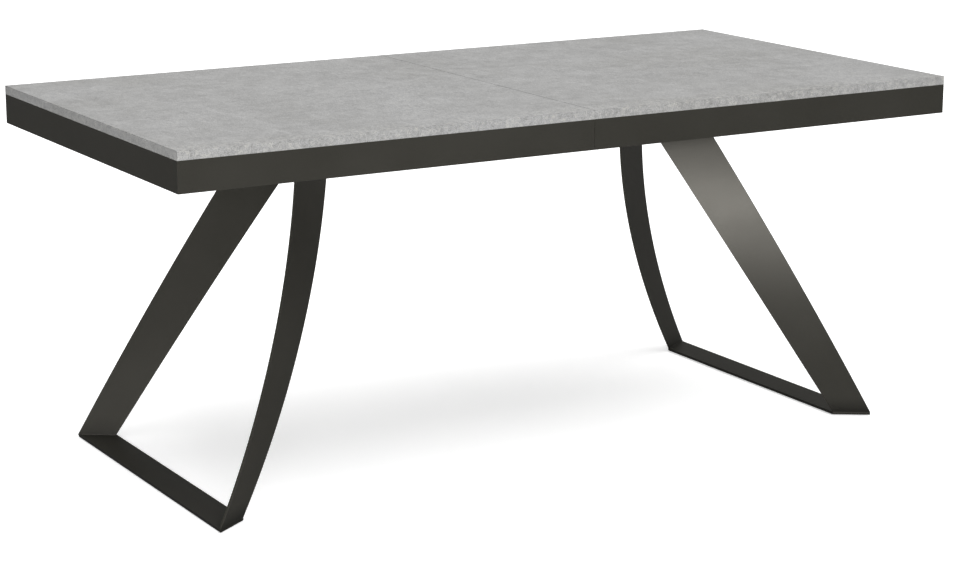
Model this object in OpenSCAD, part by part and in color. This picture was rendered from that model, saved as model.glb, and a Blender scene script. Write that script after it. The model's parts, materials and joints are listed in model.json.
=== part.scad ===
// Extendable dining table with two sliding half tops, curved blade legs and two stored leaves.
// X runs along the length, Y across the width, Z up. The origin is on the floor under the middle.

/* [Overall size] */
// Length of the closed table
table_length = 1800; // [1500:10:2200]
// Width of the table
table_width = 900; // [750:10:1100]
// Height of the top face above the floor
table_height = 770; // [640:5:930]
// Length that one leaf adds, which is also its width when stored
leaf_length = 520; // [430:5:630]

/* [Top] */
// Thickness of the half tops and of the leaves
top_t = 18; // [15:0.5:22]
// Thickness of the edge band
band_t = 1; // [0.8:0.1:1.5]
// Gap between the two half tops when the table is closed
seam_gap = 0.6; // [0.6:0.1:1.2]
// Radius of the alignment dowels
dowel_r = 4; // [3:0.5:5]
// How far a dowel stands out of its edge
dowel_out = 8; // [6:0.5:10]

/* [Apron] */
// Height of the apron
apron_h = 62; // [56:1:80]
// Wall thickness of the apron profile
apron_t = 4; // [3:0.5:5]
// Depth of the apron profile's flanges
apron_depth = 22; // [18:1:28]

/* [Legs] */
// Thickness of the steel blades
blade_t = 5; // [4:0.5:8]
// Angle of the blades to the table's length, seen from above
blade_angle = 33.5; // [30:0.5:36]
// Radius of the blades' bow, measured to mid thickness
bow_r = 1400; // [1250:10:1700]
// Height at which the blades bow out furthest
bow_z = 246; // [190:1:310]
// Distance from the table's end to the middle of a blade's foot
foot_end_inset = 137; // [110:1:170]
// Distance from the table's long side to the middle of a blade's foot
foot_side_inset = 105; // [85:1:125]
// Distance between the middles of a pair of blades' heads
head_spacing = 132; // [112:1:155]
// Blade width at the floor
blade_foot_w = 84; // [70:1:105]
// Blade width under the top
blade_head_w = 128; // [105:1:150]
// Thickness of the floor bar
floor_bar_t = 6; // [5:0.5:10]
// Thickness of the floor pads
floor_pad_t = 2; // [1:0.5:4]

/* [Sliding frame] */
// Wall thickness of the outer rails
rail_t = 3; // [2:0.5:4]
// Width of the rail flanges, wall included
rail_flange = 12; // [10:0.5:14]
// Width of the middle beams
beam_w = 22; // [19:0.5:26]
// Wall thickness of the middle beams
beam_wall = 2.5; // [2:0.5:4]
// Length of the sliding shoes and of the rail glides
shoe_length = 60; // [50:5:75]
// Running clearance of sliding pieces
run_gap = 0.3; // [0.3:0.1:0.5]

/* [Locks] */
// Width of the lock bolts
lock_w = 14; // [11:1:17]
// Thickness of the lock bolts
lock_t = 5; // [4:0.5:6]
// Travel of the lock bolts
lock_travel = 28; // [24:1:30]

/* [Hidden] */
$fn = 48;

// Overshoot of cutting tools past the faces they open
cut = 1;
// Radial clearance round screws, bolts and glued dowels
fit = 0.1;

// Finishes
concrete_grey = [0.67, 0.67, 0.66];
anthracite = [0.22, 0.21, 0.2];
bare_aluminium = [0.75, 0.76, 0.77];
zinc = [0.62, 0.63, 0.64];
black_nylon = [0.09, 0.09, 0.09];
white_nylon = [0.86, 0.86, 0.83];
grey_felt = [0.42, 0.41, 0.4];
black_rubber = [0.07, 0.07, 0.07];
pale_wood = [0.72, 0.58, 0.4];

// Levels and edges
top_under = table_height - top_t;
apron_under = top_under - apron_h;
half_w = table_width / 2;
half_l = table_length / 2;
seam_x = seam_gap / 2;

// Height that the cross bars and the two stored leaves take between the rails
felt_t = 2;
leaf_gap = 1;
leaf_head_room = 3;
bar_t = 4;
bar_lift = 2;
rail_h = bar_lift + bar_t + felt_t + 2 * top_t + leaf_gap + leaf_head_room;

// Cross members on the aprons' lower flanges fill the height left under the rails
member_h = apron_h - apron_t - rail_h;
member_w = 40;
member_end_gap = 0.5;
member_z = apron_under + apron_t;
rail_z = member_z + member_h;

// Middle beams run inside the rails, held off them by nylon of this thickness
glide_t = 3;
beam_side_gap = 1;
beam_z = rail_z + rail_t + glide_t + run_gap;
beam_h = rail_h - 2 * (rail_t + glide_t + run_gap);
leaf_side_gap = 13;
beam_y = leaf_length / 2 + leaf_side_gap;
rail_y = beam_y + beam_w + beam_side_gap + rail_t;
rail_end_gap = 6;
rail_length = half_l - apron_depth - 2 * rail_end_gap;
shoe_end_t = 3;
shoe_plug = 20;
beam_half = half_l - apron_depth - 3 * rail_end_gap - shoe_end_t;
glide_start = 10;
stop_length = 12;
stop_gap = 0.5;
stop_end_x = beam_half + shoe_end_t - shoe_length - leaf_length - stop_gap;

// Leaves lie lengthwise on the cross bars, one above the other
leaf_l = table_width;
bar_w = 30;
bar_z = rail_z + bar_lift;
bar_end_inset = 54;
bar_x = leaf_l / 2 - bar_end_inset;
bar_tab_h = 34;
lower_leaf_z = bar_z + bar_t + felt_t;
upper_leaf_z = lower_leaf_z + top_t + leaf_gap;
felt_w = 24;
felt_inset = 20;
spacer_size = 30;
pad_length = 30;
pad_side_gap = 2;
pad_w = beam_w + beam_side_gap + rail_t - rail_flange - pad_side_gap;
pad_inset = 40;

// Countersunk screws that hold rails, aprons and lock plates to the tops
screw_r = 2;
screw_head_r = 4;
screw_cone = 2;
screw_length = 14;
screw_end_inset = 90;
rail_screw_x = [screw_end_inset, rail_length / 2, rail_length - screw_end_inset / 2];
rail_screw_y = rail_y - (rail_flange + rail_t) / 2;
apron_screw_x = [screw_end_inset, half_l / 2, half_l - screw_end_inset];
apron_screw_inset = (apron_depth + apron_t) / 2;

// Button head bolts through the leg plates, and flush bolts through the aprons' lower flanges
bolt_r = 4;
bolt_head_r = 7;
bolt_head_h = 4;
flush_bolt_r = 3;
flush_head_r = 6;
flush_cone = 3;
bolt_end_gap = 1;
bolt_length = apron_t + member_h - bolt_end_gap;

// Screws that hold the cross bars to the beams
bar_screw_r = 2.5;
bar_screw_head_r = 4.5;
bar_screw_head_h = 3;
bar_screw_tail = 3;
bar_screw_length = bar_t + beam_wall + bar_screw_tail;
bar_screw_drop = 12;
bar_screw_z = bar_z + bar_tab_h - bar_screw_drop;

// Dowels along the seam and along the leaf edges
dowel_in = 10;
dowel_end_gap = 1;
dowel_slip = 0.3;
dowel_places = [-table_width / 3, -table_width / 9, table_width / 9, table_width / 3];

// Each blade is a rolled plate: reach runs along its level rulings, offset across them
foot_z = floor_pad_t + floor_bar_t;
head_z = apron_under;
foot_mid = [half_l - foot_end_inset, half_w - foot_side_inset];
head_mid_y = head_spacing / 2;
blade_cos = cos(blade_angle);
blade_sin = sin(blade_angle);
outer_bulge = 10;
inner_bulge = 5;
edge_steps = 16;
blade_window = 400;
bow_facets = 720;

function bow_drop(z) = bow_r - sqrt(bow_r * bow_r - (z - bow_z) * (z - bow_z));
foot_mid_offset = foot_mid[1] * blade_cos - foot_mid[0] * blade_sin;
bow_offset = foot_mid_offset + bow_drop(foot_z);
foot_reach = foot_mid[0] * blade_cos + foot_mid[1] * blade_sin;
head_reach = (head_mid_y - (bow_offset - bow_drop(head_z)) * blade_cos) / blade_sin;

function blade_share(z) = (z - foot_z) / (head_z - foot_z);
function blade_mid(z) = foot_reach + (head_reach - foot_reach) * blade_share(z);
function blade_w(z) = blade_foot_w + (blade_head_w - blade_foot_w) * blade_share(z);
function bulge(z, size) = 4 * size * blade_share(z) * (1 - blade_share(z));
function outer_reach(z) = blade_mid(z) + blade_w(z) / 2 + bulge(z, outer_bulge);
function inner_reach(z) = blade_mid(z) - blade_w(z) / 2 + bulge(z, inner_bulge);
function step_z(i) = foot_z + (head_z - foot_z) * i / edge_steps;
function plan_point(reach, offset) = [
    reach * blade_cos - offset * blade_sin,
    reach * blade_sin + offset * blade_cos
];

// Leg plate, sized from the blade heads
head_offset = bow_offset - bow_drop(head_z);
head_inner = plan_point(inner_reach(head_z), head_offset);
head_outer = plan_point(outer_reach(head_z), head_offset);
plate_end_edge = 36;
plate_side_edge = 26;
plate_x = [head_inner[0] - plate_end_edge, head_outer[0] + plate_end_edge];
plate_y = head_outer[1] + plate_side_edge;
member_x = [plate_x[0] + member_w / 2, plate_x[1] - member_w / 2];
inner_bolt_inset = 32;
outer_bolt_y = 42;
plate_bolt_y = [plate_y - inner_bolt_inset, outer_bolt_y];
flange_bolt_y = half_w - (apron_depth + apron_t) / 2;

// Floor bar, mitred along the outer faces of the blade feet
foot_offset = foot_mid_offset + blade_t / 2;
foot_outer = plan_point(outer_reach(foot_z), foot_offset);
foot_inner = plan_point(inner_reach(foot_z), foot_offset);
floor_pad_r = 15;
floor_pad_share = 0.8;

// Slide bolts under the seam, between the rails and the aprons
lock_y = (rail_y + half_w - apron_depth) / 2;
lock_fit = 0.3;
lock_wall = 5;
lock_floor = 2.5;
lock_plate_t = 3;
lock_plate_side = 13;
lock_screw_side = 8;
lock_z = top_under - lock_plate_t - lock_fit - lock_t;
guide_start = 12;
guide_length = 36;
lock_tip = 6;
lock_chamfer = 3;
knob_r = 5;
knob_h = 14;
knob_inset = 8;
knob_gap = 9;
lock_length = guide_start + guide_length + knob_gap + knob_r + knob_inset + lock_travel - lock_tip;
keeper_start = 5;
keeper_overrun = 2;
keeper_length = lock_travel - lock_tip - keeper_start - keeper_overrun;
keeper_gap = 1;

// Corner brackets inside the aprons
corner_leg = 40;
corner_t = 3;
corner_inset = 6;

// ---------- fasteners and shared shapes ----------

// Countersunk screw that points up, with its head face at z = 0
module screw(grow = 0) {
    cylinder(r1 = screw_head_r + grow, r2 = screw_r + grow, h = screw_cone);
    cylinder(r = screw_r + grow, h = screw_length + grow);
}

// Button head bolt that points up, with its head below z = 0
module bolt() {
    translate([0, 0, -bolt_head_h])
        cylinder(r = bolt_head_r, h = bolt_head_h);
    cylinder(r = bolt_r, h = bolt_length);
}

// Countersunk bolt that points up, with its head face at z = 0
module flush_bolt(grow = 0) {
    cylinder(r1 = flush_head_r + grow, r2 = flush_bolt_r + grow, h = flush_cone);
    cylinder(r = flush_bolt_r + grow, h = bolt_length + grow);
}

// Places of the rail and apron screws in the right half
module at_panel_screws() {
    for (side = [-1, 1]) {
        for (x = rail_screw_x) {
            translate([x, side * rail_screw_y, top_under - rail_t])
                children();
        }
        for (x = apron_screw_x) {
            translate([x, side * (half_w - apron_screw_inset), top_under - apron_t])
                children();
        }
        translate([half_l - apron_screw_inset, side * half_w / 2, top_under - apron_t])
            children();
    }
}

// Places of the screws in a pair of lock plates centred on x
module at_lock_screws(x) {
    for (side = [-1, 1]) {
        for (edge = [-1, 1]) {
            translate([x, side * lock_y + edge * (lock_w / 2 + lock_screw_side), top_under - lock_plate_t])
                children();
        }
    }
}

// Places of the leg plate's bolts in the right half
module at_plate_bolts() {
    for (side = [-1, 1]) {
        for (i = [0, 1]) {
            translate([member_x[i], side * plate_bolt_y[i], apron_under])
                children();
        }
    }
}

// Places of the flush bolts in the right half
module at_flush_bolts() {
    for (side = [-1, 1]) {
        for (x = member_x) {
            translate([x, side * flange_bolt_y, apron_under])
                children();
        }
    }
}

module plate_bolt_holes() {
    at_plate_bolts()
        translate([0, 0, -cut])
            cylinder(r = bolt_r + fit, h = bolt_length + fit + cut);
}

// Holes for the seam dowels, entered from the seam
module seam_dowel_holes(hole_r, depth) {
    for (y = dowel_places) {
        translate([seam_x - cut, y, table_height - top_t / 2])
            rotate([0, 90, 0])
                cylinder(r = hole_r, h = depth + cut);
    }
}

// ---------- one half of the table, drawn on the right ----------

module half_panel(lock_x) {
    difference() {
        translate([seam_x + band_t, -half_w + band_t, top_under])
            cube([half_l - seam_x - 2 * band_t, table_width - 2 * band_t, top_t]);
        at_panel_screws()
            screw(fit);
        at_lock_screws(lock_x)
            screw(fit);
        children();
    }
}

module half_band() {
    difference() {
        translate([seam_x, -half_w, top_under])
            cube([half_l - seam_x, table_width, top_t]);
        translate([seam_x + band_t, -half_w + band_t, top_under - cut])
            cube([half_l - seam_x - 2 * band_t, table_width - 2 * band_t, top_t + 2 * cut]);
        children();
    }
}

// Channel section with its wall at x = 0
module apron_section() {
    difference() {
        square([apron_depth, apron_h]);
        translate([apron_t, apron_t])
            square([apron_depth, apron_h - 2 * apron_t]);
    }
}

// Block beyond the corner mitre, turned to the side that is cut away
module mitre_block(turn) {
    translate([half_l, half_w, apron_under - cut])
        rotate([0, 0, turn])
            cube([2 * apron_depth, 2 * apron_depth, apron_h + 2 * cut]);
}

module half_rear_apron() {
    difference() {
        translate([seam_x, half_w, apron_under])
            rotate([90, 0, 90])
                mirror([1, 0, 0])
                    linear_extrude(height = half_l - seam_x)
                        apron_section();
        mitre_block(225);
        at_panel_screws()
            screw(fit);
        at_flush_bolts()
            flush_bolt(fit);
    }
}

module half_front_apron() {
    mirror([0, 1, 0])
        half_rear_apron();
}

module half_end_apron() {
    difference() {
        translate([half_l, half_w, apron_under])
            rotate([90, 0, 0])
                mirror([1, 0, 0])
                    linear_extrude(height = table_width)
                        apron_section();
        mitre_block(135);
        mirror([0, 1, 0])
            mitre_block(135);
        at_panel_screws()
            screw(fit);
    }
}

module half_corner_brackets() {
    for (side = [0, 1]) {
        mirror([0, side, 0])
            translate([half_l - apron_t, half_w - apron_t, member_z + corner_inset])
                linear_extrude(height = apron_h - 2 * (apron_t + corner_inset))
                    polygon([
                        [0, 0], [-corner_leg, 0], [-corner_leg, -corner_t],
                        [-corner_t, -corner_t], [-corner_t, -corner_leg], [0, -corner_leg]
                    ]);
    }
}

module half_rear_rail() {
    difference() {
        translate([rail_end_gap, rail_y - rail_flange, rail_z])
            cube([rail_length, rail_flange, rail_h]);
        translate([rail_end_gap - cut, rail_y - rail_flange - cut, rail_z + rail_t])
            cube([rail_length + 2 * cut, rail_flange - rail_t + cut, rail_h - 2 * rail_t]);
        at_panel_screws()
            screw(fit);
    }
}

module half_front_rail() {
    mirror([0, 1, 0])
        half_rear_rail();
}

// Liners in the mouths of the rails, with the running clearance round the beams
module half_rail_glides() {
    for (side = [0, 1]) {
        mirror([0, side, 0])
            difference() {
                translate([glide_start, rail_y - rail_flange, rail_z + rail_t])
                    cube([shoe_length, rail_flange - rail_t, rail_h - 2 * rail_t]);
                translate([glide_start - cut, beam_y, beam_z - run_gap])
                    cube([shoe_length + 2 * cut, beam_w + run_gap, beam_h + 2 * run_gap]);
            }
    }
}

// Blocks that the beam shoes meet when the table is fully open
module half_travel_stops() {
    for (side = [0, 1]) {
        mirror([0, side, 0])
            translate([stop_end_x - stop_length, rail_y - rail_flange, top_under - rail_t - glide_t])
                cube([stop_length, rail_flange - rail_t, glide_t]);
    }
}

module half_cross_members() {
    difference() {
        for (x = member_x) {
            translate([x - member_w / 2, -half_w + apron_t + member_end_gap, member_z])
                cube([member_w, table_width - 2 * (apron_t + member_end_gap), member_h]);
        }
        plate_bolt_holes();
        at_flush_bolts()
            flush_bolt(fit);
    }
}

module half_leg_plate() {
    difference() {
        translate([plate_x[0], -plate_y, apron_under])
            cube([plate_x[1] - plate_x[0], 2 * plate_y, apron_t]);
        plate_bolt_holes();
    }
}

module half_rear_blade() {
    rotate([0, 0, blade_angle])
        intersection() {
            translate([0, bow_offset - bow_r, bow_z])
                rotate([0, 90, 0])
                    difference() {
                        cylinder(r = bow_r + blade_t / 2, h = table_length, $fn = bow_facets);
                        translate([0, 0, -cut])
                            cylinder(r = bow_r - blade_t / 2, h = table_length + 2 * cut, $fn = bow_facets);
                    }
            translate([0, bow_offset + blade_t, 0])
                rotate([90, 0, 0])
                    linear_extrude(height = blade_window)
                        polygon(concat(
                            [for (i = [0:edge_steps]) [outer_reach(step_z(i)), step_z(i)]],
                            [for (i = [edge_steps:-1:0]) [inner_reach(step_z(i)), step_z(i)]]
                        ));
        }
}

module half_front_blade() {
    mirror([0, 1, 0])
        half_rear_blade();
}

module half_floor_bar() {
    translate([0, 0, floor_pad_t])
        linear_extrude(height = floor_bar_t)
            polygon([
                [foot_outer[0], -foot_outer[1]], foot_outer,
                foot_inner, [foot_inner[0], -foot_inner[1]]
            ]);
}

module half_floor_pads() {
    for (share = [-floor_pad_share, 0, floor_pad_share]) {
        translate([(foot_outer[0] + foot_inner[0]) / 2, share * foot_inner[1], 0])
            cylinder(r = floor_pad_r, h = floor_pad_t);
    }
}

module half_frame_bolts() {
    at_plate_bolts()
        bolt();
    at_flush_bolts()
        flush_bolt();
}

module half_panel_screws(lock_x) {
    at_panel_screws()
        screw();
    at_lock_screws(lock_x)
        screw();
}

// ---------- left half ----------

guide_x = guide_start + guide_length / 2;
keeper_x = keeper_start + keeper_length / 2;

module left_side() {
    mirror([1, 0, 0])
        children();
}

module left_top_panel() {
    color(concrete_grey)
        left_side()
            half_panel(guide_x)
                seam_dowel_holes(dowel_r + fit, dowel_in + dowel_end_gap);
}

module left_edge_band() {
    color(concrete_grey)
        left_side()
            half_band()
                seam_dowel_holes(dowel_r + fit, dowel_in + dowel_end_gap);
}

module left_front_apron() {
    color(anthracite)
        left_side()
            half_front_apron();
}

module left_rear_apron() {
    color(anthracite)
        left_side()
            half_rear_apron();
}

module left_end_apron() {
    color(anthracite)
        left_side()
            half_end_apron();
}

module left_corner_brackets() {
    color(zinc)
        left_side()
            half_corner_brackets();
}

module left_front_rail() {
    color(bare_aluminium)
        left_side()
            half_front_rail();
}

module left_rear_rail() {
    color(bare_aluminium)
        left_side()
            half_rear_rail();
}

module left_rail_glides() {
    color(white_nylon)
        left_side()
            half_rail_glides();
}

module left_travel_stops() {
    color(zinc)
        left_side()
            half_travel_stops();
}

module left_cross_members() {
    color(anthracite)
        left_side()
            half_cross_members();
}

module left_leg_plate() {
    color(anthracite)
        left_side()
            half_leg_plate();
}

module left_front_blade() {
    color(anthracite)
        left_side()
            half_front_blade();
}

module left_rear_blade() {
    color(anthracite)
        left_side()
            half_rear_blade();
}

module left_floor_bar() {
    color(anthracite)
        left_side()
            half_floor_bar();
}

module left_floor_pads() {
    color(black_nylon)
        left_side()
            half_floor_pads();
}

module left_frame_bolts() {
    color(zinc)
        left_side()
            half_frame_bolts();
}

module left_panel_screws() {
    color(zinc)
        left_side()
            half_panel_screws(guide_x);
}

// ---------- right half ----------

module right_top_panel() {
    color(concrete_grey)
        half_panel(keeper_x)
            seam_dowel_holes(dowel_r + dowel_slip, dowel_out + dowel_end_gap);
}

module right_edge_band() {
    color(concrete_grey)
        half_band()
            seam_dowel_holes(dowel_r + dowel_slip, dowel_out + dowel_end_gap);
}

module right_front_apron() {
    color(anthracite)
        half_front_apron();
}

module right_rear_apron() {
    color(anthracite)
        half_rear_apron();
}

module right_end_apron() {
    color(anthracite)
        half_end_apron();
}

module right_corner_brackets() {
    color(zinc)
        half_corner_brackets();
}

module right_front_rail() {
    color(bare_aluminium)
        half_front_rail();
}

module right_rear_rail() {
    color(bare_aluminium)
        half_rear_rail();
}

module right_rail_glides() {
    color(white_nylon)
        half_rail_glides();
}

module right_travel_stops() {
    color(zinc)
        half_travel_stops();
}

module right_cross_members() {
    color(anthracite)
        half_cross_members();
}

module right_leg_plate() {
    color(anthracite)
        half_leg_plate();
}

module right_front_blade() {
    color(anthracite)
        half_front_blade();
}

module right_rear_blade() {
    color(anthracite)
        half_rear_blade();
}

module right_floor_bar() {
    color(anthracite)
        half_floor_bar();
}

module right_floor_pads() {
    color(black_nylon)
        half_floor_pads();
}

module right_frame_bolts() {
    color(zinc)
        half_frame_bolts();
}

module right_panel_screws() {
    color(zinc)
        half_panel_screws(keeper_x);
}

// ---------- dowels and locks at the seam ----------

module seam_dowels() {
    color(pale_wood)
        for (y = dowel_places) {
            translate([-seam_x - dowel_in, y, table_height - top_t / 2])
                rotate([0, 90, 0])
                    cylinder(r = dowel_r, h = dowel_in + dowel_out);
        }
}

// Plate under the top with a tunnel for a lock bolt, which has the given clearance on three sides
module lock_tunnel(length, gap) {
    difference() {
        union() {
            translate([0, -lock_w / 2 - lock_plate_side, top_under - lock_plate_t])
                cube([length, lock_w + 2 * lock_plate_side, lock_plate_t]);
            translate([0, -lock_w / 2 - lock_wall, lock_z - gap - lock_floor])
                cube([length, lock_w + 2 * lock_wall, top_under - lock_z + gap + lock_floor]);
        }
        translate([-cut, -lock_w / 2 - gap, lock_z - gap])
            cube([length + 2 * cut, lock_w + 2 * gap, lock_t + lock_fit + gap]);
    }
}

module lock_guides() {
    color(zinc)
        difference() {
            for (side = [-1, 1]) {
                translate([-guide_start - guide_length, side * lock_y, 0])
                    lock_tunnel(guide_length, lock_fit);
            }
            at_lock_screws(-guide_x)
                screw(fit);
        }
}

module lock_keepers() {
    color(zinc)
        difference() {
            for (side = [-1, 1]) {
                translate([keeper_start, side * lock_y, 0])
                    lock_tunnel(keeper_length, keeper_gap);
            }
            at_lock_screws(keeper_x)
                screw(fit);
        }
}

module lock_bolt() {
    translate([-lock_tip, lock_y, lock_z])
        linear_extrude(height = lock_t)
            polygon([
                [0, lock_chamfer - lock_w / 2], [0, lock_w / 2 - lock_chamfer],
                [-lock_chamfer, lock_w / 2], [-lock_length, lock_w / 2],
                [-lock_length, -lock_w / 2], [-lock_chamfer, -lock_w / 2]
            ]);
    translate([knob_inset - lock_tip - lock_length, lock_y, lock_z - knob_h])
        cylinder(r = knob_r, h = knob_h + lock_t / 2);
}

module rear_lock_bolt() {
    color(zinc)
        lock_bolt();
}

module front_lock_bolt() {
    color(zinc)
        mirror([0, 1, 0])
            lock_bolt();
}

// ---------- middle carriage: beams, cross bars and stored leaves ----------

// Screws through the cross bar tabs into the beams
module at_bar_screws() {
    for (x = [-bar_x, 0, bar_x]) {
        for (side = [0, 1]) {
            mirror([0, side, 0])
                translate([x, beam_y - bar_t, bar_screw_z])
                    rotate([-90, 0, 0])
                        children();
        }
    }
}

module bar_screw_holes() {
    at_bar_screws()
        translate([0, 0, -cut])
            cylinder(r = bar_screw_r + fit, h = bar_screw_length + cut);
}

module rear_beam_tube() {
    difference() {
        translate([-beam_half, beam_y, beam_z])
            cube([2 * beam_half, beam_w, beam_h]);
        translate([-beam_half - cut, beam_y + beam_wall, beam_z + beam_wall])
            cube([2 * (beam_half + cut), beam_w - 2 * beam_wall, beam_h - 2 * beam_wall]);
        bar_screw_holes();
    }
}

module rear_beam() {
    color(bare_aluminium)
        rear_beam_tube();
}

module front_beam() {
    color(bare_aluminium)
        mirror([0, 1, 0])
            rear_beam_tube();
}

// Plug in the beam's end with sliding shoes above and below the beam
module beam_shoe() {
    translate([beam_half - shoe_plug, beam_y + beam_wall + fit, beam_z + beam_wall + fit])
        cube([shoe_plug, beam_w - 2 * (beam_wall + fit), beam_h - 2 * (beam_wall + fit)]);
    translate([beam_half, beam_y, beam_z])
        cube([shoe_end_t, beam_w, beam_h]);
    for (z = [beam_z - glide_t, beam_z + beam_h]) {
        translate([beam_half + shoe_end_t - shoe_length, rail_y - rail_flange, z])
            cube([shoe_length, rail_flange - rail_t - beam_side_gap, glide_t]);
    }
}

module beam_shoes() {
    color(white_nylon)
        for (end = [0, 1]) {
            for (side = [0, 1]) {
                mirror([end, 0, 0])
                    mirror([0, side, 0])
                        beam_shoe();
            }
        }
}

// Flat bar with upturned tabs that meet the beams
module cross_bar(x) {
    difference() {
        translate([x - bar_w / 2, -beam_y, bar_z])
            cube([bar_w, 2 * beam_y, bar_tab_h]);
        translate([x - bar_w / 2 - cut, -beam_y + bar_t, bar_z + bar_t])
            cube([bar_w + 2 * cut, 2 * (beam_y - bar_t), bar_tab_h]);
        bar_screw_holes();
    }
}

module left_cross_bar() {
    color(zinc)
        cross_bar(-bar_x);
}

module middle_cross_bar() {
    color(zinc)
        cross_bar(0);
}

module right_cross_bar() {
    color(zinc)
        cross_bar(bar_x);
}

module cross_bar_screws() {
    color(zinc)
        at_bar_screws() {
            translate([0, 0, -bar_screw_head_h])
                cylinder(r = bar_screw_head_r, h = bar_screw_head_h);
            cylinder(r = bar_screw_r, h = bar_screw_length);
        }
}

module cross_bar_felts() {
    color(grey_felt)
        for (x = [-bar_x, 0, bar_x]) {
            translate([x - felt_w / 2, felt_inset - leaf_length / 2, bar_z + bar_t])
                cube([felt_w, leaf_length - 2 * felt_inset, felt_t]);
        }
}

// Pads on the beams that carry the leaves level with the tops when the table is open
module leaf_pads() {
    color(black_rubber)
        for (side = [0, 1]) {
            for (x = [pad_inset - leaf_length, -pad_inset, pad_inset, leaf_length - pad_inset]) {
                mirror([0, side, 0])
                    translate([x - pad_length / 2, beam_y, beam_z + beam_h])
                        cube([pad_length, pad_w, top_under - run_gap - beam_z - beam_h]);
            }
        }
}

// Dowel holes in both long edges of a leaf: glued on one side, sliding on the other
module leaf_dowel_holes(z) {
    for (x = dowel_places) {
        translate([x, leaf_length / 2 - dowel_in - dowel_end_gap, z + top_t / 2])
            rotate([-90, 0, 0])
                cylinder(r = dowel_r + fit, h = dowel_in + dowel_end_gap + cut);
        translate([x, -leaf_length / 2 - cut, z + top_t / 2])
            rotate([-90, 0, 0])
                cylinder(r = dowel_r + dowel_slip, h = dowel_out + dowel_end_gap + cut);
    }
}

module leaf(z) {
    difference() {
        translate([band_t - leaf_l / 2, band_t - leaf_length / 2, z])
            cube([leaf_l - 2 * band_t, leaf_length - 2 * band_t, top_t]);
        leaf_dowel_holes(z);
    }
}

module lower_leaf() {
    color(concrete_grey)
        leaf(lower_leaf_z);
}

module upper_leaf() {
    color(concrete_grey)
        leaf(upper_leaf_z);
}

module leaf_edge_bands() {
    color(concrete_grey)
        for (z = [lower_leaf_z, upper_leaf_z]) {
            difference() {
                translate([-leaf_l / 2, -leaf_length / 2, z])
                    cube([leaf_l, leaf_length, top_t]);
                translate([band_t - leaf_l / 2, band_t - leaf_length / 2, z - cut])
                    cube([leaf_l - 2 * band_t, leaf_length - 2 * band_t, top_t + 2 * cut]);
                leaf_dowel_holes(z);
            }
        }
}

module leaf_dowels() {
    color(pale_wood)
        for (z = [lower_leaf_z, upper_leaf_z]) {
            for (x = dowel_places) {
                translate([x, leaf_length / 2 - dowel_in, z + top_t / 2])
                    rotate([-90, 0, 0])
                        cylinder(r = dowel_r, h = dowel_in + dowel_out);
            }
        }
}

module leaf_spacers() {
    color(grey_felt)
        for (x = [-bar_x, bar_x]) {
            for (y = [felt_inset - leaf_length / 2, leaf_length / 2 - felt_inset - spacer_size]) {
                translate([x - spacer_size / 2, y, lower_leaf_z + top_t])
                    cube([spacer_size, spacer_size, leaf_gap]);
            }
        }
}

left_top_panel();
left_edge_band();
left_front_apron();
left_rear_apron();
left_end_apron();
left_corner_brackets();
left_front_rail();
left_rear_rail();
left_rail_glides();
left_travel_stops();
left_cross_members();
left_leg_plate();
left_front_blade();
left_rear_blade();
left_floor_bar();
left_floor_pads();
left_frame_bolts();
left_panel_screws();
right_top_panel();
right_edge_band();
right_front_apron();
right_rear_apron();
right_end_apron();
right_corner_brackets();
right_front_rail();
right_rear_rail();
right_rail_glides();
right_travel_stops();
right_cross_members();
right_leg_plate();
right_front_blade();
right_rear_blade();
right_floor_bar();
right_floor_pads();
right_frame_bolts();
right_panel_screws();
seam_dowels();
lock_guides();
lock_keepers();
front_lock_bolt();
rear_lock_bolt();
front_beam();
rear_beam();
beam_shoes();
left_cross_bar();
middle_cross_bar();
right_cross_bar();
cross_bar_screws();
cross_bar_felts();
leaf_pads();
lower_leaf();
upper_leaf();
leaf_edge_bands();
leaf_dowels();
leaf_spacers();
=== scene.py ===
import json
import math

import bmesh
import bpy
from mathutils import Matrix, Vector, noise

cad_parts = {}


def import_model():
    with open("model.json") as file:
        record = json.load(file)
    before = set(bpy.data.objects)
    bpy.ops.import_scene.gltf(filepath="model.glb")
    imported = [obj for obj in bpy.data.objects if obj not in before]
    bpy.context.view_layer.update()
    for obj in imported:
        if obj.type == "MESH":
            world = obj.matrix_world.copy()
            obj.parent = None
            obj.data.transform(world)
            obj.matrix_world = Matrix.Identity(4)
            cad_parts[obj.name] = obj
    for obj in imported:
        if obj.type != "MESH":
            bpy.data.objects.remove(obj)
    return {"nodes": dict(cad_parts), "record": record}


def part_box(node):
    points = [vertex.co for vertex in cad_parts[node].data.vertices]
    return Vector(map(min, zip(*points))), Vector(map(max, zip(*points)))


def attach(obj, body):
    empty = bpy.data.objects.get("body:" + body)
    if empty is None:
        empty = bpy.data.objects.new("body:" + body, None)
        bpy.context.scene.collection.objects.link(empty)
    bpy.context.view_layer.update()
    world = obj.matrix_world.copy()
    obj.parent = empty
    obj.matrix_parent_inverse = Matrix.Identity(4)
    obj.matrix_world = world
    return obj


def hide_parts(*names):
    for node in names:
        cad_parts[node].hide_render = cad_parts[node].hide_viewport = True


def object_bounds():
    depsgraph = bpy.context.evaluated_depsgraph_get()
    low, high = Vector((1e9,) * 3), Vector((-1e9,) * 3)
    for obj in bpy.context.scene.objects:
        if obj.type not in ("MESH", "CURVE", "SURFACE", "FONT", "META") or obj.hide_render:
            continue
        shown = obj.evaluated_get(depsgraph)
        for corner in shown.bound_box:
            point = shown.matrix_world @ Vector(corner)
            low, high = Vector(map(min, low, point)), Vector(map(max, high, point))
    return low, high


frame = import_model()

MM = 0.001
NODES = frame["nodes"]
CAD_BOX = [list(corner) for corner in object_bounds()]
SLOT_OF = {part["node"]: part["material_slot"] for part in frame["record"]["subparts"]}
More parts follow.
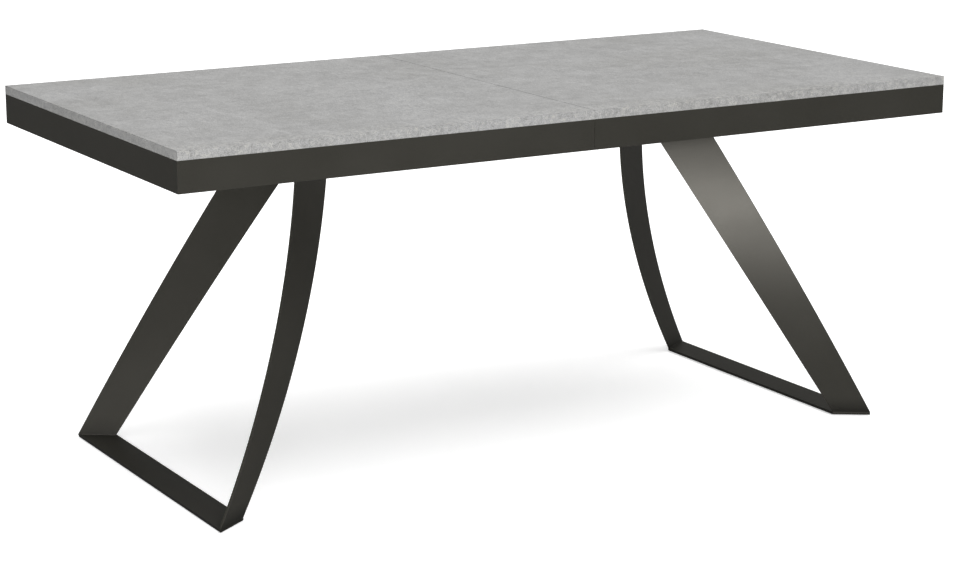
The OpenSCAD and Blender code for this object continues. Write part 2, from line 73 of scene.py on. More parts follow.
BODY_OF = {node: body for body, nodes in frame["record"]["behaviour"]["bodies"].items() for node in nodes}


# ---------- node helpers ----------

class Material:
    """A principled material whose node tree is built call by call."""

    def __init__(self, name):
        self.material = bpy.data.materials.new(name)
        self.material.use_nodes = True
        self.tree = self.material.node_tree
        self.shader = self.tree.nodes["Principled BSDF"]
        self.place = self.add("ShaderNodeTexCoord").outputs["Object"]

    def add(self, kind, **settings):
        node = self.tree.nodes.new(kind)
        for key, value in settings.items():
            setattr(node, key, value)
        return node

    def link(self, source, target):
        self.tree.links.new(source, target)

    def stretched(self, lengths, turn=0.0):
        """The place divided by a length on each axis, after a turn about Z in degrees."""
        mapping = self.add("ShaderNodeMapping", vector_type="TEXTURE")
        mapping.inputs["Scale"].default_value = lengths
        mapping.inputs["Rotation"].default_value = (0, 0, math.radians(turn))
        self.link(self.place, mapping.inputs["Vector"])
        return mapping.outputs["Vector"]

    def along(self, axis):
        """One coordinate of the place, in metres."""
        split = self.add("ShaderNodeSeparateXYZ")
        self.link(self.place, split.inputs["Vector"])
        return split.outputs[axis]

    def noise(self, scale, detail, rough, place=None, warp=0.0):
        """Cloudy noise of about scale features to the metre, with detail finer octaves."""
        node = self.add("ShaderNodeTexNoise")
        node.inputs["Scale"].default_value = scale
        node.inputs["Detail"].default_value = detail
        node.inputs["Roughness"].default_value = rough
        node.inputs["Distortion"].default_value = warp
        self.link(place or self.place, node.inputs["Vector"])
        return node.outputs["Fac"]

    def cells(self, scale, output):
        """Scattered cells, about scale to the metre: Distance from each middle, or a random Color on each."""
        node = self.add("ShaderNodeTexVoronoi", feature="F1")
        node.inputs["Scale"].default_value = scale
        self.link(self.place, node.inputs["Vector"])
        return node.outputs[output]

    def spread(self, source, low, high, to_low=0.0, to_high=1.0):
        """The source mapped from low..high to to_low..to_high, and held level beyond them."""
        node = self.add("ShaderNodeMapRange", clamp=True)
        for key, value in zip(("From Min", "From Max", "To Min", "To Max"), (low, high, to_low, to_high)):
            node.inputs[key].default_value = value
        self.link(source, node.inputs["Value"])
        return node.outputs["Result"]

    def combine(self, operation, first, second):
        """A Math node on two sources, or on a source and a number."""
        node = self.add("ShaderNodeMath", operation=operation)
        for socket, value in zip(node.inputs, (first, second)):
            if isinstance(value, (int, float)):
                socket.default_value = value
            else:
                self.link(value, socket)
        return node.outputs["Value"]

    def scaled(self, source, share):
        return self.combine("MULTIPLY", source, share)

    def mix(self, factor, first, second):
        """From the first colour to the second as the factor goes from 0 to 1."""
        node = self.add("ShaderNodeMix", data_type="RGBA")
        for key, value in (("Factor_Float", factor), ("A_Color", first), ("B_Color", second)):
            socket = next(s for s in node.inputs if s.identifier == key)
            if isinstance(value, tuple):
                socket.default_value = (*value, 1.0)
            else:
                self.link(value, socket)
        return next(s for s in node.outputs if s.identifier == "Result_Color")

    def layered(self, base, *layers):
        """Each layer is (source, where it starts, where it is full, its most, its colour)."""
        for source, start, full, most, tint in layers:
            base = self.mix(self.spread(source, start, full, 0.0, most), base, tint)
        return base

    def highlight_edges(self, radius):
        """0 on flat faces, rising to 1 on outer edges, where the rounded normal leaves the face's own. It
        places a painted highlight along the edges.
        """
        rounded = self.add("ShaderNodeBevel", samples=4)
        rounded.inputs["Radius"].default_value = radius
        geometry = self.add("ShaderNodeNewGeometry")
        agreement = self.add("ShaderNodeVectorMath", operation="DOT_PRODUCT")
        self.link(rounded.outputs["Normal"], agreement.inputs[0])
        self.link(geometry.outputs["Normal"], agreement.inputs[1])
        return self.spread(agreement.outputs["Value"], 0.995, 0.8)

    def open_faces(self, reach):
        """Ambient occlusion: 1 on open faces, falling towards 0 in joints and inner corners closer than the
        reach in metres. It places painted shade there.
        """
        node = self.add("ShaderNodeAmbientOcclusion", samples=4)
        node.inputs["Distance"].default_value = reach
        return node.outputs["AO"]

    def color(self, source):
        self.link(source, self.shader.inputs["Base Color"])

    def roughness(self, source):
        self.link(source, self.shader.inputs["Roughness"])

    def bumps(self, *layers):
        """Each layer is (height, strength, distance in metres)."""
        normal = None
        for height, strength, distance in layers:
            node = self.add("ShaderNodeBump")
            node.inputs["Strength"].default_value = strength
            node.inputs["Distance"].default_value = distance
            self.link(height, node.inputs["Height"])
            if normal:
                self.link(normal, node.inputs["Normal"])
            normal = node.outputs["Normal"]
        self.link(normal, self.shader.inputs["Normal"])

    def fixed(self, **sockets):
        """Sets constant values on the shader's own sockets."""
        for key, value in sockets.items():
            self.shader.inputs[key.replace("_", " ")].default_value = value
        return self


# ---------- materials ----------

def grey(tone, warmth=0.0):
    """A grey whose blue falls by the warmth, and whose green falls by a fifth of it."""
    return (tone, tone * (1 - 0.2 * warmth), tone * (1 - warmth))


def concrete(name, tone=1.0, speckle=0.2):
    """Matt concrete-effect laminate: clouds, mottling, trowel marks, grit and pores.

    The fine mottling is full along the front edge, and elsewhere goes from the speckle's share to
    the patches' share with the clouds. The tone scales every colour but that of the pores.
    """
    m = Material(name)
    clouds = m.noise(scale=2.4, detail=5.0, rough=0.6, warp=0.4)
    blotches = m.noise(scale=24.0, detail=7.0, rough=0.78, warp=0.3)
    trowel = m.noise(scale=52.0, detail=4.0, rough=0.7, place=m.stretched((1.0, 9.0, 1.0), turn=12), warp=0.3)
    drag = m.noise(scale=40.0, detail=4.0, rough=0.7, place=m.stretched((8.0, 1.0, 1.0), turn=-4), warp=0.3)
    fines = m.noise(scale=105.0, detail=6.0, rough=0.8)
    grit = m.noise(scale=420.0, detail=3.0, rough=0.75)
    pores = m.cells(230.0, "Distance")

    base = m.mix(m.spread(clouds, 0.36, 0.64), grey(0.352 * tone, 0.03), grey(0.392 * tone))
    base = m.layered(
        base,
        (blotches, 0.5, 0.72, 0.6, grey(0.48 * tone, 0.01)),
        (blotches, 0.5, 0.28, 0.6, grey(0.27 * tone, 0.02)),
        (trowel, 0.54, 0.76, 0.5, grey(0.5 * tone)),
        (drag, 0.46, 0.24, 0.45, grey(0.27 * tone)),
    )

    front_edge, patches, most = CAD_BOX[0][1], 0.7, 0.75
    near_front = m.spread(m.along("Y"), front_edge + 90 * MM, front_edge + 20 * MM)
    patchy = m.combine("MAXIMUM", near_front, m.spread(clouds, 0.48, 0.66, speckle, patches))
    pale_fines = m.combine("MULTIPLY", m.spread(fines, 0.5, 0.64), patchy)
    base = m.mix(m.scaled(pale_fines, most), base, grey(0.56 * tone, 0.1))
    dark_fines = m.combine("MULTIPLY", m.spread(fines, 0.47, 0.33), patchy)
    base = m.mix(m.scaled(dark_fines, most), base, grey(0.2 * tone, 0.1))
    base = m.layered(
        base,
        (grit, 0.51, 0.72, 0.65, grey(0.58 * tone)),
        (grit, 0.49, 0.28, 0.65, grey(0.2 * tone, 0.03)),
    )
    pits = m.combine("MULTIPLY", m.spread(pores, 0.2, 0.05), m.spread(grit, 0.5, 0.7))
    m.color(m.mix(m.scaled(pits, 0.4), base, grey(0.17)))

    m.roughness(m.spread(m.combine("ADD", blotches, m.scaled(grit, 0.4)), 0.45, 1.0, 0.4, 0.6))
    m.bumps((blotches, 0.1, 0.4 * MM), (fines, 0.15, 0.15 * MM), (grit, 0.2, 0.1 * MM))
    return m.fixed(Specular_IOR_Level=0.4).material


def powder_coat(name):
    """Satin anthracite powder coat: orange peel, faint patches, a painted highlight on outer edges and
    painted shade in joints and inner corners.
    """
    m = Material(name)
    patches = m.noise(scale=5.0, detail=4.0, rough=0.5)
    peel = m.noise(scale=520.0, detail=2.0, rough=0.5)
    grain = m.cells(900.0, "Distance")
    dark, light, fleck = (0.0205, 0.0196, 0.0158), (0.0243, 0.0233, 0.0192), (0.036, 0.035, 0.0305)
    # The painted edge highlight, and the near-black painted shade for joints and inner corners
    painted_edge_highlight, corner = (0.09, 0.087, 0.082), (0.002, 0.0019, 0.0016)
    base = m.mix(m.spread(patches, 0.35, 0.65), dark, light)
    base = m.layered(base, (grain, 0.1, 0.6, 0.25, fleck))
    # Painted highlight: a lighter colour along the outer edges, where light would catch them
    base = m.mix(m.scaled(m.highlight_edges(0.8 * MM), 0.12), base, painted_edge_highlight)
    # Painted shade: the colour goes to near black in joints and inner corners, where ambient occlusion finds
    # them
    m.color(m.mix(m.spread(m.open_faces(45 * MM), 0.4, 0.95), corner, base))
    m.roughness(m.spread(m.combine("ADD", patches, m.scaled(peel, 0.5)), 0.4, 1.1, 0.33, 0.43))
    m.bumps((peel, 0.25, 0.12 * MM), (grain, 0.08, 0.05 * MM))
    return m.fixed(Specular_IOR_Level=0.5, Specular_Tint=(1.0, 0.96, 0.87, 1.0)).material


def aluminium(name):
    """Natural extrusion with die lines along X and faint handling marks."""
    m = Material(name)
    lines = m.noise(scale=160.0, detail=3.0, rough=0.6, place=m.stretched((100.0, 1.0, 1.0)))
    marks = m.noise(scale=22.0, detail=5.0, rough=0.7, warp=1.2)
    m.color(m.mix(m.spread(lines, 0.35, 0.65), (0.62, 0.63, 0.64), (0.78, 0.785, 0.79)))
    m.roughness(m.spread(m.combine("ADD", lines, m.scaled(marks, 0.5)), 0.5, 1.0, 0.28, 0.46))
    m.bumps((lines, 0.15, 0.08 * MM))
    return m.fixed(Metallic=1.0).material


def zinc(name):
    """Zinc-plated steel with spangle and dull spots."""
    m = Material(name)
    spangle = m.cells(420.0, "Color")
    spots = m.noise(scale=70.0, detail=5.0, rough=0.7)
    base = m.mix(m.spread(spangle, 0.2, 0.8), (0.55, 0.56, 0.57), (0.63, 0.64, 0.645))
    m.color(m.layered(base, (spots, 0.58, 0.75, 0.5, (0.4, 0.395, 0.38))))
    m.roughness(m.spread(spots, 0.3, 0.75, 0.3, 0.52))
    m.bumps((spots, 0.12, 0.08 * MM))
    return m.fixed(Metallic=1.0).material


def moulded(name, pale, dark):
    """Moulded plastic with a fine spark-eroded grain."""
    m = Material(name)
    flow = m.noise(scale=30.0, detail=3.0, rough=0.5, warp=0.5)
    grain = m.noise(scale=1100.0, detail=2.0, rough=0.6)
    m.color(m.mix(m.spread(flow, 0.35, 0.65), dark, pale))
    m.roughness(m.spread(grain, 0.3, 0.7, 0.42, 0.58))
    m.bumps((grain, 0.3, 0.1 * MM))
    return m.fixed(Specular_IOR_Level=0.5).material


def felt(name):
    """Pressed wool felt: fibres along X and Y, tangled, in two greys."""
    m = Material(name)
    fibres = [m.noise(scale=700.0, detail=6.0, rough=0.8, place=m.stretched(lengths), warp=2.0)
              for lengths in ((1.0, 4.0, 1.0), (4.0, 1.0, 1.0))]
    tangle = m.combine("MAXIMUM", *fibres)
    m.color(m.mix(m.spread(tangle, 0.45, 0.75), (0.16, 0.155, 0.15), (0.34, 0.33, 0.32)))
    m.roughness(m.spread(tangle, 0.4, 0.8, 0.85, 1.0))
    m.bumps((tangle, 0.7, 0.6 * MM))
    return m.fixed(Sheen_Weight=0.4, Sheen_Roughness=0.5).material


def beech(name):
    """Beech with pale and brown grain, in layers across Z."""
    m = Material(name)
    grain = m.noise(scale=240.0, detail=5.0, rough=0.6, place=m.stretched((8.0, 8.0, 1.0)), warp=0.7)
    m.color(m.mix(m.spread(grain, 0.35, 0.65), (0.4, 0.25, 0.13), (0.66, 0.47, 0.28)))
    m.roughness(m.spread(grain, 0.3, 0.7, 0.5, 0.7))
    m.bumps((grain, 0.3, 0.2 * MM))
    return m.material


FINISHES = {
    "concrete_laminate": concrete("concrete_laminate"),
    "edge_band": concrete("edge_band", tone=0.66, speckle=0.9),
    "anthracite_paint": powder_coat("anthracite_paint"),
    "bare_aluminium": aluminium("bare_aluminium"),
    "zinc_steel": zinc("zinc_steel"),
    "white_nylon": moulded("white_nylon", pale=(0.78, 0.78, 0.74), dark=(0.7, 0.69, 0.64)),
    "black_nylon": moulded("black_nylon", pale=(0.03, 0.03, 0.03), dark=(0.018, 0.018, 0.018)),
    "grey_felt": felt("grey_felt"),
    "black_rubber": moulded("black_rubber", pale=(0.026, 0.026, 0.026), dark=(0.015, 0.015, 0.015)),
    "beech_dowel": beech("beech_dowel"),
}

for node, cad in NODES.items():
    cad.data.materials.clear()
    cad.data.materials.append(FINISHES[SLOT_OF[node]])


# ---------- shape helpers ----------

SAME_PLACE = 0.01 * MM


def solids(node):
    """Boxes of a CAD node's separate solids, as (lowest corner, highest corner)."""
    shape = bmesh.new()
    shape.from_mesh(NODES[node].data)
    bmesh.ops.remove_doubles(shape, verts=shape.verts, dist=SAME_PLACE)
    boxes, seen = [], set()
    for start in shape.verts:
        if start in seen:
            continue
        seen.add(start)
        waiting, island = [start], []
        while waiting:
            vert = waiting.pop()
            island.append(tuple(vert.co))
            for edge in vert.link_edges:
                other = edge.other_vert(vert)
                if other not in seen:
                    seen.add(other)
                    waiting.append(other)
        boxes.append((Vector(map(min, zip(*island))), Vector(map(max, zip(*island)))))
    shape.free()
    return boxes


def level_points(node, highest):
    """Corner points of a CAD node's highest or lowest face."""
    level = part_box(node)[1 if highest else 0].z
    face = [vert.co for vert in NODES[node].data.vertices if abs(vert.co.z - level) < 0.1 * MM]
    return [Vector(point) for point in sorted({tuple(round(c, 5) for c in place) for place in face})]


# An outline gives how far a section reaches at an angle, as a share of its radius

FLUTES, KNURLS = 14, 20


def round_outline(angle):
    return 1.0


def hex_outline(angle):
    """Hexagon with its flats one radius from the middle."""
    return 1 / math.cos((angle + math.pi / 6) % (math.pi / 3) - math.pi / 6)


def cross_outline(angle):
    """Driver recess of four arms, each one radius long and 0.6 of a radius wide."""
    off = (angle + math.pi / 4) % (math.pi / 2) - math.pi / 4
    return min(1 / math.cos(off), 0.3 / max(abs(math.sin(off)), 0.01))


def wavy(angle, waves, depth):
    return 1 - depth * (0.5 + 0.5 * math.cos(waves * angle))


def fluted_outline(angle):
    return wavy(angle, FLUTES, 0.045)


def knurled_outline(angle):
    return wavy(angle, KNURLS, 0.05)


class Shape:
    """Points and faces gathered from lofts into one mesh object."""

    def __init__(self, name):
        self.name, self.points, self.faces = name, [], []

    def loft(self, rings):
        """Skins between rings of equally many points, and caps the two ends."""
        first, count = len(self.points), len(rings[0])
        for ring in rings:
            self.points.extend(ring)
        for i in range(len(rings) - 1):
            here, there = first + i * count, first + (i + 1) * count
            for j in range(count):
                k = (j + 1) % count
                self.faces.append((here + j, here + k, there + k, there + j))
        last = first + (len(rings) - 1) * count
        self.faces.append(tuple(first + j for j in reversed(range(count))))
        self.faces.append(tuple(last + j for j in range(count)))

    def turn(self, profile, place, segments=48):
        """Lofts (radius, height, outline) rows round the Z axis of place."""
        angles = [2 * math.pi * i / segments for i in range(segments)]
        rings = []
        for radius, height, outline in profile:
            rings.append([
                place @ Vector((radius * outline(a) * math.cos(a), radius * outline(a) * math.sin(a), height))
                for a in angles
            ])
        self.loft(rings)

    def build(self, slot, body, replaced=()):
        """Makes the mesh object, in the slot's finish, riding on the body."""
        mesh = bpy.data.meshes.new(self.name)
        mesh.from_pydata(self.points, [], self.faces)
        shape = bmesh.new()
        shape.from_mesh(mesh)
        bmesh.ops.recalc_face_normals(shape, faces=shape.faces)
        shape.to_mesh(mesh)
        shape.free()
        mesh.shade_smooth()
        mesh.set_sharp_from_angle(angle=math.radians(35))
        mesh.materials.append(FINISHES[slot])
        piece = bpy.data.objects.new(self.name, mesh)
        bpy.context.scene.collection.objects.link(piece)
        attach(piece, body)
        if replaced:
            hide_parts(*replaced)

    def stand_for(self, node):
        """Makes the mesh object in place of a CAD node."""
        self.build(SLOT_OF[node], BODY_OF[node], (node,))


def upright(middle, z):
    """Place over or under a point, at height z, with its Z axis up."""
    return Matrix.Translation((middle.x, middle.y, z))


def lying(start, direction):
    """Place whose Z axis points along direction."""
    return Matrix.Translation(start) @ Vector(direction).to_track_quat("Z", "Y").to_matrix().to_4x4()


def soften(node, width):
    """Small rounded edges on a CAD node, as modifiers."""
    weld = NODES[node].modifiers.new("weld", "WELD")
    weld.merge_threshold = SAME_PLACE
    bevel = NODES[node].modifiers.new("edges", "BEVEL")
    bevel.width, bevel.segments, bevel.limit_method = width, 2, "ANGLE"
    bevel.angle_limit = math.radians(30)
    NODES[node].modifiers.new("shading", "WEIGHTED_NORMAL")


# ---------- rounded edges on the carried parts ----------

# Width in millimetres of the rounding on the parts whose names end in each word
EDGE_WIDTHS = {
    "apron": 0.12, "blade": 0.6, "floor_bar": 0.6, "leg_plate": 0.6, "cross_members": 0.8,
    "corner_brackets": 0.4, "_rail": 0.3, "_beam": 0.3, "rail_glides": 0.2, "travel_stops": 0.5,
    "beam_shoes": 0.4, "cross_bar": 0.5, "lock_guides": 0.3, "lock_keepers": 0.3, "leaf_pads": 0.8,
}

for node in NODES:
    for ending, width in EDGE_WIDTHS.items():
        if node.endswith(ending):
            soften(node, width * MM)


# ---------- fasteners ----------

# Radii and heights of heads and shanks as the CAD solids have them, and half widths of the sockets
SCREW_HEAD_R, SCREW_R, SCREW_CONE = 4.0 * MM, 2.0 * MM, 2.0 * MM
BUTTON_R, BUTTON_H, BUTTON_SHANK_R, BUTTON_HEX = 7.0 * MM, 4.0 * MM, 4.0 * MM, 2.5 * MM
FLUSH_R, FLUSH_CONE, FLUSH_SHANK_R, FLUSH_HEX = 6.0 * MM, 3.0 * MM, 3.0 * MM, 2.0 * MM
PAN_R, PAN_H, PAN_SHANK_R = 4.5 * MM, 3.0 * MM, 2.5 * MM
TIP = 1.0 * MM
SOCKET_TAPER = 0.96


def panel_screw(shape, low, high):
    """Countersunk screw with a cross recess, pointing up into the board."""
    length, rim = high.z - low.z, 0.15 * MM
    recess_r, recess_bottom_r, recess_depth = 1.9 * MM, 1.1 * MM, 1.5 * MM
    shape.turn([
        (recess_bottom_r, recess_depth, cross_outline), (recess_r, 0, cross_outline),
        (SCREW_HEAD_R - rim, 0, round_outline), (SCREW_HEAD_R, rim, round_outline),
        (SCREW_R, SCREW_CONE, round_outline), (SCREW_R, length - 3 * TIP, round_outline),
        (0.2 * SCREW_R, length, round_outline),
    ], upright((low + high) / 2, low.z))


def button_bolt(shape, low, high):
    """Button head bolt with a hexagon socket, pointing up."""
    length, socket_depth = high.z - low.z, 2.2 * MM
    face_r, dome_h = 1.5 * BUTTON_HEX, BUTTON_H - 1.0 * MM
    dome = []
    for degrees in range(0, 91, 15):
        a = math.radians(degrees)
        dome.append((face_r + (BUTTON_R - face_r) * math.sin(a), dome_h * (1 - math.cos(a)), round_outline))
    shape.turn([
        (SOCKET_TAPER * BUTTON_HEX, socket_depth, hex_outline), (BUTTON_HEX, 0, hex_outline), *dome,
        (BUTTON_R, BUTTON_H, round_outline), (BUTTON_SHANK_R, BUTTON_H, round_outline),
        (BUTTON_SHANK_R, length - TIP, round_outline), (BUTTON_SHANK_R - TIP, length, round_outline),
    ], upright((low + high) / 2, low.z))


def flush_bolt(shape, low, high):
    """Countersunk bolt with a hexagon socket, pointing up."""
    length, rim, socket_depth = high.z - low.z, 0.2 * MM, 2.0 * MM
    shape.turn([
        (SOCKET_TAPER * FLUSH_HEX, socket_depth, hex_outline), (FLUSH_HEX, 0, hex_outline),
        (FLUSH_R - rim, 0, round_outline), (FLUSH_R, rim, round_outline),
        (FLUSH_SHANK_R, FLUSH_CONE, round_outline), (FLUSH_SHANK_R, length - TIP, round_outline),
        (FLUSH_SHANK_R - TIP, length, round_outline),
    ], upright((low + high) / 2, low.z))


def bar_screw(shape, low, high):
    """Pan head screw with a cross recess, pointing outward into a beam."""
    middle, outward, length = (low + high) / 2, 1 if low.y > 0 else -1, high.y - low.y
    start = Vector((middle.x, low.y if outward > 0 else high.y, middle.z))
    recess_r, recess_bottom_r, recess_depth = 2.1 * MM, 1.2 * MM, 1.6 * MM
    crown = ((1.4 * MM, 0), (0.5 * MM, 0.35 * MM), (0, 1.3 * MM))
    shape.turn([
        (recess_bottom_r, recess_depth, cross_outline), (recess_r, 0, cross_outline),
        *((PAN_R - inward, height, round_outline) for inward, height in crown),
        (PAN_R, PAN_H, round_outline), (PAN_SHANK_R, PAN_H, round_outline),
        (PAN_SHANK_R, length - TIP, round_outline), (PAN_SHANK_R - TIP, length, round_outline),
    ], lying(start, (0, outward, 0)))


def frame_bolt(shape, low, high):
    """Button head or flush bolt, told apart by the width of the head."""
    if high.x - low.x > BUTTON_R + FLUSH_R:
        button_bolt(shape, low, high)
    else:
        flush_bolt(shape, low, high)


def fasteners(name, node, make):
    """One mesh object for a CAD node, with a fastener in the box of each of its solids."""
    shape = Shape(name)
    for low, high in solids(node):
        make(shape, low, high)
    shape.stand_for(node)


# ---------- dowels, pads and felts ----------

def dowels(name, node):
    """Fluted dowels with chamfered ends, along the longest side of each solid's box."""
    shape, chamfer = Shape(name), 1.2 * MM
    for low, high in solids(node):
        size, middle = high - low, (low + high) / 2
        axis = max(range(3), key=lambda i: size[i])
        direction = Vector([1.0 if i == axis else 0.0 for i in range(3)])
        length, radius = size[axis], size[(axis + 1) % 3] / 2
        shape.turn([
            (radius - chamfer, 0, round_outline), (radius, chamfer, round_outline),
            (radius, 1.5 * chamfer, fluted_outline), (radius, length - 1.5 * chamfer, fluted_outline),
            (radius, length - chamfer, round_outline), (radius - chamfer, length, round_outline),
        ], lying(middle - direction * length / 2, direction), segments=6 * FLUTES)
    shape.stand_for(node)


def floor_pads(side):
    """Turned nylon pads with a rounded rim and a moulded ring underneath."""
    shape, recess, rim = Shape(side + "_glide_pads"), 0.5 * MM, 0.6 * MM
    for low, high in solids(side + "_floor_pads"):
        radius, height = (high.x - low.x) / 2, high.z - low.z
        shape.turn([
            (0.5 * radius, recess, round_outline), (0.62 * radius, 0, round_outline),
            (radius - rim, 0, round_outline), (radius - 0.15 * MM, 0.2 * MM, round_outline),
            (radius, rim, round_outline), (radius, height, round_outline),
        ], upright((low + high) / 2, low.z))
    shape.stand_for(side + "_floor_pads")


def felt_pieces(name, node):
    """Pressed felt with rolled edges and an uneven nap."""
    shape, cell, roll, nap_depth, nap_scale = Shape(name), 3 * MM, 0.35 * MM, 0.25 * MM, 300
    for low, high in solids(node):
        size = high - low
        across = [max(2, round(size[i] / cell)) for i in (0, 1)]

        def surface(i, j, top):
            """Point (i, j) of the grid on the flat underside or the napped top."""
            x, y = low.x + size.x * i / across[0], low.y + size.y * j / across[1]
            at_rim = i in (0, across[0]) or j in (0, across[1])
            dip = nap_depth * (0.5 + 0.5 * noise.noise(Vector((x, y, low.z)) * nap_scale))
            return Vector((x, y, high.z - dip - (roll if at_rim else 0) if top else low.z))

        first, columns = len(shape.points), across[1] + 1
        for top in (False, True):
            shape.points.extend(surface(i, j, top) for i in range(across[0] + 1) for j in range(columns))
        layer = (across[0] + 1) * columns
        for i in range(across[0]):
            for j in range(across[1]):
                here, there = i * columns + j, (i + 1) * columns + j
                quad = [here, there, there + 1, here + 1]
                shape.faces.append(tuple(first + q for q in reversed(quad)))
                shape.faces.append(tuple(first + layer + q for q in quad))
        rim = [(i, 0) for i in range(across[0])] + [(across[0], j) for j in range(across[1])]
        rim += [(i, across[1]) for i in range(across[0], 0, -1)] + [(0, j) for j in range(across[1], 0, -1)]
        loop = [first + i * columns + j for i, j in rim]
        for here, there in zip(loop, loop[1:] + loop[:1]):
            shape.faces.append((here, there, there + layer, here + layer))
    shape.stand_for(node)


# ---------- locks ----------

LOCK_T, NOSE_CHAMFER, KNOB_INSET, KNOB_R = 5.0 * MM, 3.0 * MM, 8.0 * MM, 5.0 * MM


def lock_bolt(side):
    """Flat bolt with a chamfered nose and a knurled finger knob underneath."""
    node = side + "_lock_bolt"
    shape = Shape(side + "_slide_bolt")
    low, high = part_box(node)
    middle, edge, bar_under = (low + high) / 2, 0.5 * MM, high.z - LOCK_T
    outline = [
        (high.x, low.y + NOSE_CHAMFER), (high.x, high.y - NOSE_CHAMFER), (high.x - NOSE_CHAMFER, high.y),
        (low.x, high.y), (low.x, low.y), (high.x - NOSE_CHAMFER, low.y),
    ]
    rings = []
    for z, inset in ((0, edge), (edge, 0), (LOCK_T - edge, 0), (LOCK_T, edge)):
        ring = []
        for x, y in outline:
            x = min(max(x, low.x + inset), high.x - inset)
            y = min(max(y, low.y + inset), high.y - inset)
            ring.append(Vector((x, y, bar_under + z)))
        rings.append(ring)
    shape.loft(rings)

    grip, waist_r = bar_under - low.z, 0.7 * KNOB_R
    shape.turn([
        (0.55 * KNOB_R, 0, round_outline), (0.85 * KNOB_R, 0.4 * MM, round_outline),
        (KNOB_R, 1.6 * MM, round_outline), (KNOB_R, 2.0 * MM, knurled_outline),
        (KNOB_R, 0.6 * grip, knurled_outline), (KNOB_R, 0.65 * grip, round_outline),
        (waist_r, 0.75 * grip, round_outline), (waist_r, grip + edge, round_outline),
    ], upright(Vector((low.x + KNOB_INSET, middle.y, 0)), low.z), segments=4 * KNURLS)
    shape.stand_for(node)


# ---------- welds ----------

def bead(shape, start, end, radius):
    """Rippled weld bead along a straight joint, thinning out at both ends."""
    pitch, sides, trough = 1.6 * MM, 10, 0.9
    end_share, rise = 0.35, 6
    wander_share, wander_scale = 0.12, 200
    along = end - start
    across = along.to_track_quat("Z", "Y").to_matrix()
    steps = max(6, round(along.length / pitch) * 2)
    rings = []
    for i in range(steps + 1):
        share = i / steps
        middle = start + along * share
        swell = radius * min(1.0, end_share + rise * min(share, 1 - share)) * (1.0 if i % 2 else trough)
        wander = wander_share * radius * noise.noise(middle * wander_scale)
        rings.append([
            middle + across @ Vector((math.cos(a) * swell + wander, math.sin(a) * swell, 0))
            for a in (2 * math.pi * j / sides for j in range(sides))
        ])
    shape.loft(rings)


def blade_welds(node):
    """Beads round the blade's head under the leg plate, and inside the corner at its foot."""
    shape = Shape(node + "_welds")
    for highest, radius in ((True, 2.0 * MM), (False, 1.6 * MM)):
        corners = level_points(node, highest)
        first = corners[0]
        beside = min(corners[1:], key=lambda c: (c - first).length)
        far = [c for c in corners if c not in (first, beside)]
        if (far[0] - first).length > (far[1] - first).length:
            far.reverse()
        long_sides = sorted(((first, far[0]), (beside, far[1])), key=lambda s: abs(s[0].y + s[1].y))
        for start, end in long_sides if highest else long_sides[:1]:
            bead(shape, start, end, radius)
    shape.build(SLOT_OF[node], BODY_OF[node])


# ---------- the new pieces ----------

for side in ("left", "right"):
    fasteners(side + "_countersunk_screws", side + "_panel_screws", panel_screw)
    fasteners(side + "_socket_bolts", side + "_frame_bolts", frame_bolt)
fasteners("pan_head_screws", "cross_bar_screws", bar_screw)
dowels("seam_pegs", "seam_dowels")
dowels("leaf_pegs", "leaf_dowels")
felt_pieces("bar_felt", "cross_bar_felts")
felt_pieces("spacer_felt", "leaf_spacers")
for side in ("left", "right"):
    floor_pads(side)
for side in ("front", "rear"):
    lock_bolt(side)
for node in NODES:
    if node.endswith("blade"):
        blade_welds(node)


# ---------- studio ----------

CAMERA_PLACE = (-2.6573, -4.5282, 1.5700)
CAMERA_PITCH, CAMERA_AZIMUTH = 13.334, 30.34
FOCAL_LENGTH, SENSOR_WIDTH = 93.32, 36.0
BACKDROP_LIGHT = 0.11


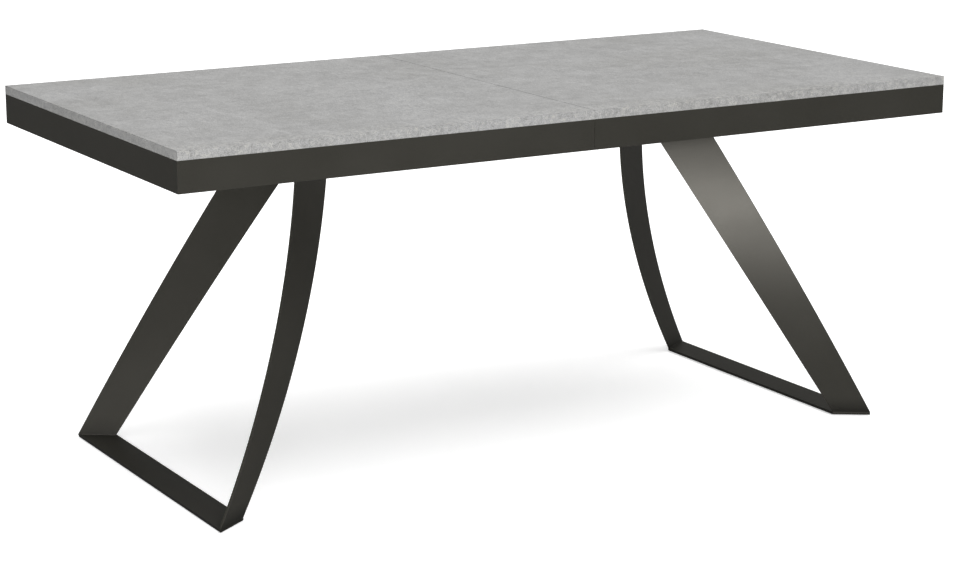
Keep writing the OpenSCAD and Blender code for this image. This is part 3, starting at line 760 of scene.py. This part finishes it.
def floor():
    """A pale floor that glows a little, and that no reflection shows."""
    reach = 30.0
    corners = [(x, y, 0) for x, y in ((-reach, -reach), (reach, -reach), (reach, reach), (-reach, reach))]
    mesh = bpy.data.meshes.new("floor")
    mesh.from_pydata(corners, [], [(0, 1, 2, 3)])
    plane = bpy.data.objects.new("floor", mesh)
    bpy.context.scene.collection.objects.link(plane)
    m = Material("floor_paint")
    haze = m.noise(scale=0.6, detail=2.0, rough=0.55)
    m.color(m.mix(m.spread(haze, 0.3, 0.7), grey(0.86), grey(0.9)))
    m.fixed(Roughness=0.9, Specular_IOR_Level=0.1, Emission_Color=(1, 1, 1, 1), Emission_Strength=0.5)
    mesh.materials.append(m.material)
    plane.visible_glossy = False


def area_light(name, place, aim, size, power):
    """A rectangular softbox at place that faces aim."""
    data = bpy.data.lights.new(name, "AREA")
    data.shape = "RECTANGLE"
    data.size, data.size_y = size
    data.energy = power
    light = bpy.data.objects.new(name, data)
    light.location = place
    direction = [a - p for a, p in zip(aim, place)]
    light.rotation_euler = Vector(direction).to_track_quat("-Z", "Y").to_euler()
    bpy.context.scene.collection.objects.link(light)


def sun(name, toward, power, softness):
    """Even light from the side that toward points to, spread over softness degrees."""
    data = bpy.data.lights.new(name, "SUN")
    data.angle = math.radians(softness)
    data.energy = power
    light = bpy.data.objects.new(name, data)
    light.rotation_euler = Vector(toward).to_track_quat("Z", "Y").to_euler()
    bpy.context.scene.collection.objects.link(light)


def world():
    """A backdrop that is white to the camera and lights the table only faintly."""
    sky = bpy.data.worlds.new("studio")
    sky.use_nodes = True
    background = sky.node_tree.nodes["Background"]
    background.inputs["Color"].default_value = (1, 1, 1, 1)
    path = sky.node_tree.nodes.new("ShaderNodeLightPath")
    strength = sky.node_tree.nodes.new("ShaderNodeMapRange")
    strength.inputs["To Min"].default_value = BACKDROP_LIGHT
    sky.node_tree.links.new(path.outputs["Is Camera Ray"], strength.inputs["Value"])
    sky.node_tree.links.new(strength.outputs["Result"], background.inputs["Strength"])
    bpy.context.scene.world = sky
    bpy.context.scene.view_settings.view_transform = "Standard"


def camera():
    data = bpy.data.cameras.new("camera")
    data.lens = FOCAL_LENGTH
    data.sensor_width = SENSOR_WIDTH
    cam = bpy.data.objects.new("camera", data)
    cam.location = CAMERA_PLACE
    cam.rotation_euler = (math.radians(90 - CAMERA_PITCH), 0, math.radians(-CAMERA_AZIMUTH))
    bpy.context.scene.collection.objects.link(cam)
    bpy.context.scene.camera = cam


floor()
world()
sun("overhead", toward=(0.14, -0.22, 1.0), power=3.42, softness=80)
area_light("front", place=(-3.3, -6.4, 1.5), aim=(0.4, -0.2, 0.5), size=(3.0, 1.7), power=258)
camera()
